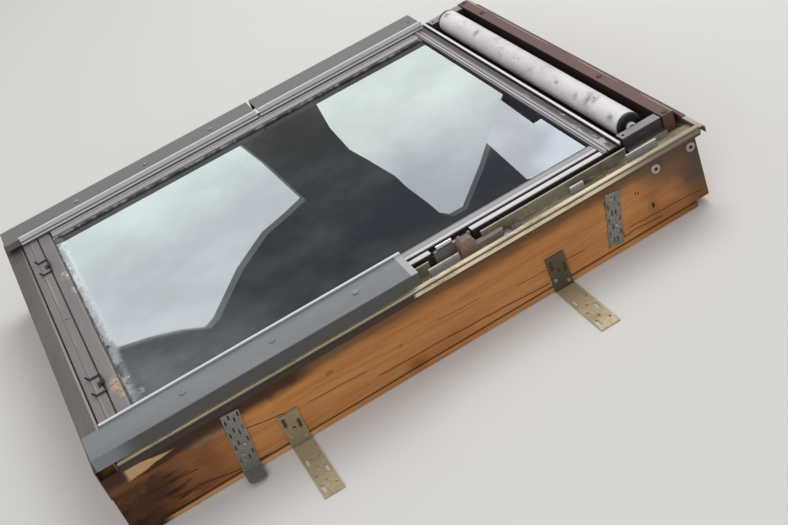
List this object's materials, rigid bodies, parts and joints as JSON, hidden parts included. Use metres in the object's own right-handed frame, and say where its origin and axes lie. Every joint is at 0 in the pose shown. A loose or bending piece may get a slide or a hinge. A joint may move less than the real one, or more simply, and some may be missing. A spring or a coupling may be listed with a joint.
{
  "type": "roof skylight",
  "caption": "Centre-pivot timber roof skylight with aluminium weather trims, insulating glass, side covers, an outside blind roller, a ventilation flap and fixing brackets.",
  "frame": {"origin": "middle of the footprint of the whole window, brackets included, level with the room face of the frame", "axes": "+X across the window, towards the side seen in the picture; +Y up the slope, from the sill to the blind roller; +Z outwards through the glass"},
  "size_m": [1.04, 1.0116, 0.1649],
  "materials": {
    "timber": "weathered pine with dark stains",
    "sash_timber": "varnished pine",
    "ridge_trim": "weathered lacquer, pale on its ridges",
    "sill_metal": "grey brown lacquer, dusty",
    "head_metal": "grey brown lacquer, dusty",
    "cover_metal": "grey lacquer, dusty",
    "sash_metal": "grey lacquer, worn light on its edges",
    "glass": "clear, dusty",
    "seal": "matte black",
    "spacer_metal": "satin",
    "hinge_metal": "worn lacquered casting",
    "spring_metal": "bright",
    "screw_metal": "dull",
    "clip_metal": "satin",
    "galvanised": "dull galvanised",
    "strap_metal": "dull galvanised",
    "blind_fabric": "pale, dirty",
    "black_plastic": "matte",
    "white_plastic": "dirty",
    "bracket_metal": "dark lacquer, pale dust on top",
    "tube_metal": "satin",
    "lock_metal": "zinc plated",
    "bar_metal": "satin"
  },
  "bodies": {
    "frame": {"jamb_right": "timber", "jamb_left": "timber", "head": "timber", "sill": "timber", "edge_trim_right": "ridge_trim", "edge_trim_left": "ridge_trim", "head_trim": "ridge_trim", "sill_cladding": "sill_metal", "head_plate": "head_metal", "head_plate_screws": "screw_metal", "sill_gasket": "seal", "hinge_base_right": "hinge_metal", "hinge_base_left": "hinge_metal", "hinge_base_screws": "screw_metal", "cover_clips_upper": "clip_metal", "upper_cover_left": "cover_metal", "roller_bracket_right": "bracket_metal", "roller_bracket_left": "bracket_metal", "strike_plate": "lock_metal", "straps_lower": "strap_metal", "straps_upper": "strap_metal", "angle_brackets_lower": "galvanised", "angle_brackets_upper": "galvanised", "strap_nails": "screw_metal", "corner_washers": "screw_metal"},
    "sash": {"sash_stile_right": "sash_timber", "sash_stile_left": "sash_timber", "sash_top_rail": "sash_timber", "sash_bottom_rail": "sash_timber", "outer_pane": "glass", "inner_pane": "glass", "glass_seal": "seal", "glass_spacer": "spacer_metal", "inner_gasket": "seal", "outer_gasket": "seal", "sash_trim_right": "sash_metal", "sash_trim_left": "sash_metal", "sash_trim_top": "sash_metal", "sash_trim_bottom": "sash_metal", "blind_hooks": "screw_metal", "hook_pads": "screw_metal", "lower_cover_right": "cover_metal", "lower_cover_left": "cover_metal", "cover_clips_lower": "clip_metal", "sash_screws": "screw_metal", "hinge_leaf_right": "lock_metal", "hinge_leaf_left": "lock_metal", "hinge_leaf_screws": "screw_metal", "hinge_springs": "spring_metal", "lock_case": "lock_metal", "flap_lugs": "lock_metal"},
    "flap": {"vent_flap": "sash_timber", "control_bar": "bar_metal", "control_bar_caps": "black_plastic"},
    "latch": {"latch_tongue": "lock_metal"},
    "roller": {"roller_tube": "tube_metal", "blind_cloth": "blind_fabric", "roller_caps": "black_plastic", "roller_bushes": "white_plastic", "roller_axles": "lock_metal"}
  },
  "joints": [
    {"name": "sash_pivot", "type": "hinge", "parent": "frame", "child": "sash", "pos_m": [0, 0.01775, 0.164], "axis": [-1, 0, 0], "range_deg": [0, 135]},
    {"name": "vent_flap_hinge", "type": "hinge", "parent": "sash", "child": "flap", "pos_m": [0, 0.37175, 0.056], "axis": [1, 0, 0], "range_deg": [0, 45]},
    {"name": "latch_slide", "type": "slide", "parent": "sash", "child": "latch", "axis": [0, 1, 0], "range_m": [0, 0.012]},
    {"name": "blind_roller_spin", "type": "hinge", "parent": "frame", "child": "roller", "pos_m": [0, 0.42475, 0.143], "axis": [1, 0, 0], "continuous": true}
  ]
}
